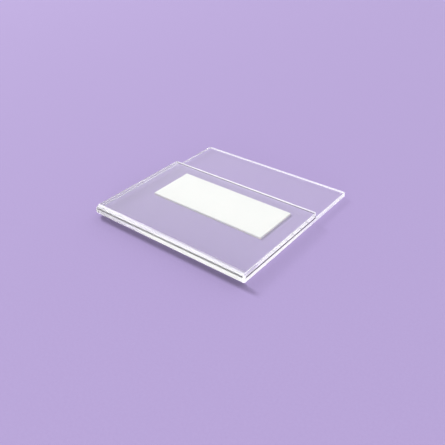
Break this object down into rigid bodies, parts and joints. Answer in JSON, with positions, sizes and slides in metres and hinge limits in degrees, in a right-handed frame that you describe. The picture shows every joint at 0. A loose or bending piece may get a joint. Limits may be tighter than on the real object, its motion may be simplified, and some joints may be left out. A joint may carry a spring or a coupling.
{
  "type": "clear card holder",
  "caption": "Clear acrylic sheet folded into a flat open-sided pocket that grips a card, with a peel-and-stick foam pad under its longer back leaf.",
  "frame": {"origin": "middle of the footprint, on the surface that the release liner lies on", "axes": "+X along the fold, +Y from the fold to the back leaf's open edge, +Z from the liner up to the front leaf"},
  "size_m": [0.105, 0.105, 0.0074],
  "materials": {
    "clear_acrylic": "polished",
    "white_foam": "matte",
    "adhesive": "satin",
    "liner_paper": "satin"
  },
  "bodies": {
    "holder": {"back_leaf": "clear_acrylic", "fold_bend": "clear_acrylic", "front_leaf": "clear_acrylic", "upper_adhesive": "adhesive", "foam_core": "white_foam", "lower_adhesive": "adhesive"},
    "liner": {"release_liner": "liner_paper"}
  },
  "joints": [
    {"name": "liner_peel", "type": "slide", "parent": "holder", "child": "liner", "axis": [1, 0, 0], "range_m": [0, 0.11]}
  ]
}
